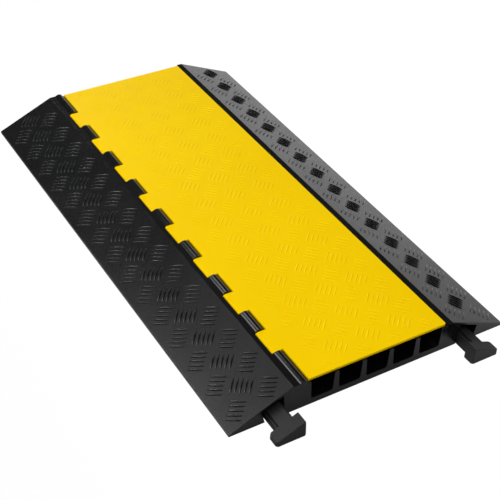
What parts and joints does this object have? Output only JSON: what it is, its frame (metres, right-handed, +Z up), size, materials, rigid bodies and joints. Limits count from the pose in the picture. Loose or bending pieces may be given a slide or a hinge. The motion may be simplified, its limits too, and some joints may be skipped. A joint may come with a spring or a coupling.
{
  "type": "cable protector ramp",
  "caption": "Low rubber drive-over ramp with parallel cable channels under a full-length hinged lid, treaded slopes on both sides and T-headed link connectors at one end.",
  "frame": {"origin": "centre of the base's footprint, on the ground plane", "axes": "+X across the ramp from the hinge side to the free side of the lid, +Y along the channels away from the fitted links, +Z up"},
  "size_m": [0.5, 0.95, 0.0525],
  "materials": {
    "base_rubber": "matt moulded rubber",
    "lid_plastic": "satin yellow, faint raised tread",
    "rod_steel": "drawn bar",
    "plug_rubber": "matt",
    "link_rubber": "hard moulded rubber"
  },
  "bodies": {
    "base": {"base_moulding": "base_rubber", "hinge_rod": "rod_steel", "rod_end_plug": "plug_rubber"},
    "lid": {"cover_lid": "lid_plastic"},
    "link_left": {"link_connector_left": "link_rubber"},
    "link_right": {"link_connector_right": "link_rubber"}
  },
  "joints": [
    {"name": "lid_hinge", "type": "hinge", "parent": "base", "child": "lid", "pos_m": [-0.1265, 0, 0.0435], "axis": [0, -1, 0], "range_deg": [0, 108]},
    {"name": "link_left_lift_out", "type": "slide", "parent": "base", "child": "link_left", "axis": [0, 0, -1], "range_m": [0, 0.045]},
    {"name": "link_right_lift_out", "type": "slide", "parent": "base", "child": "link_right", "axis": [0, 0, -1], "range_m": [0, 0.045]}
  ]
}
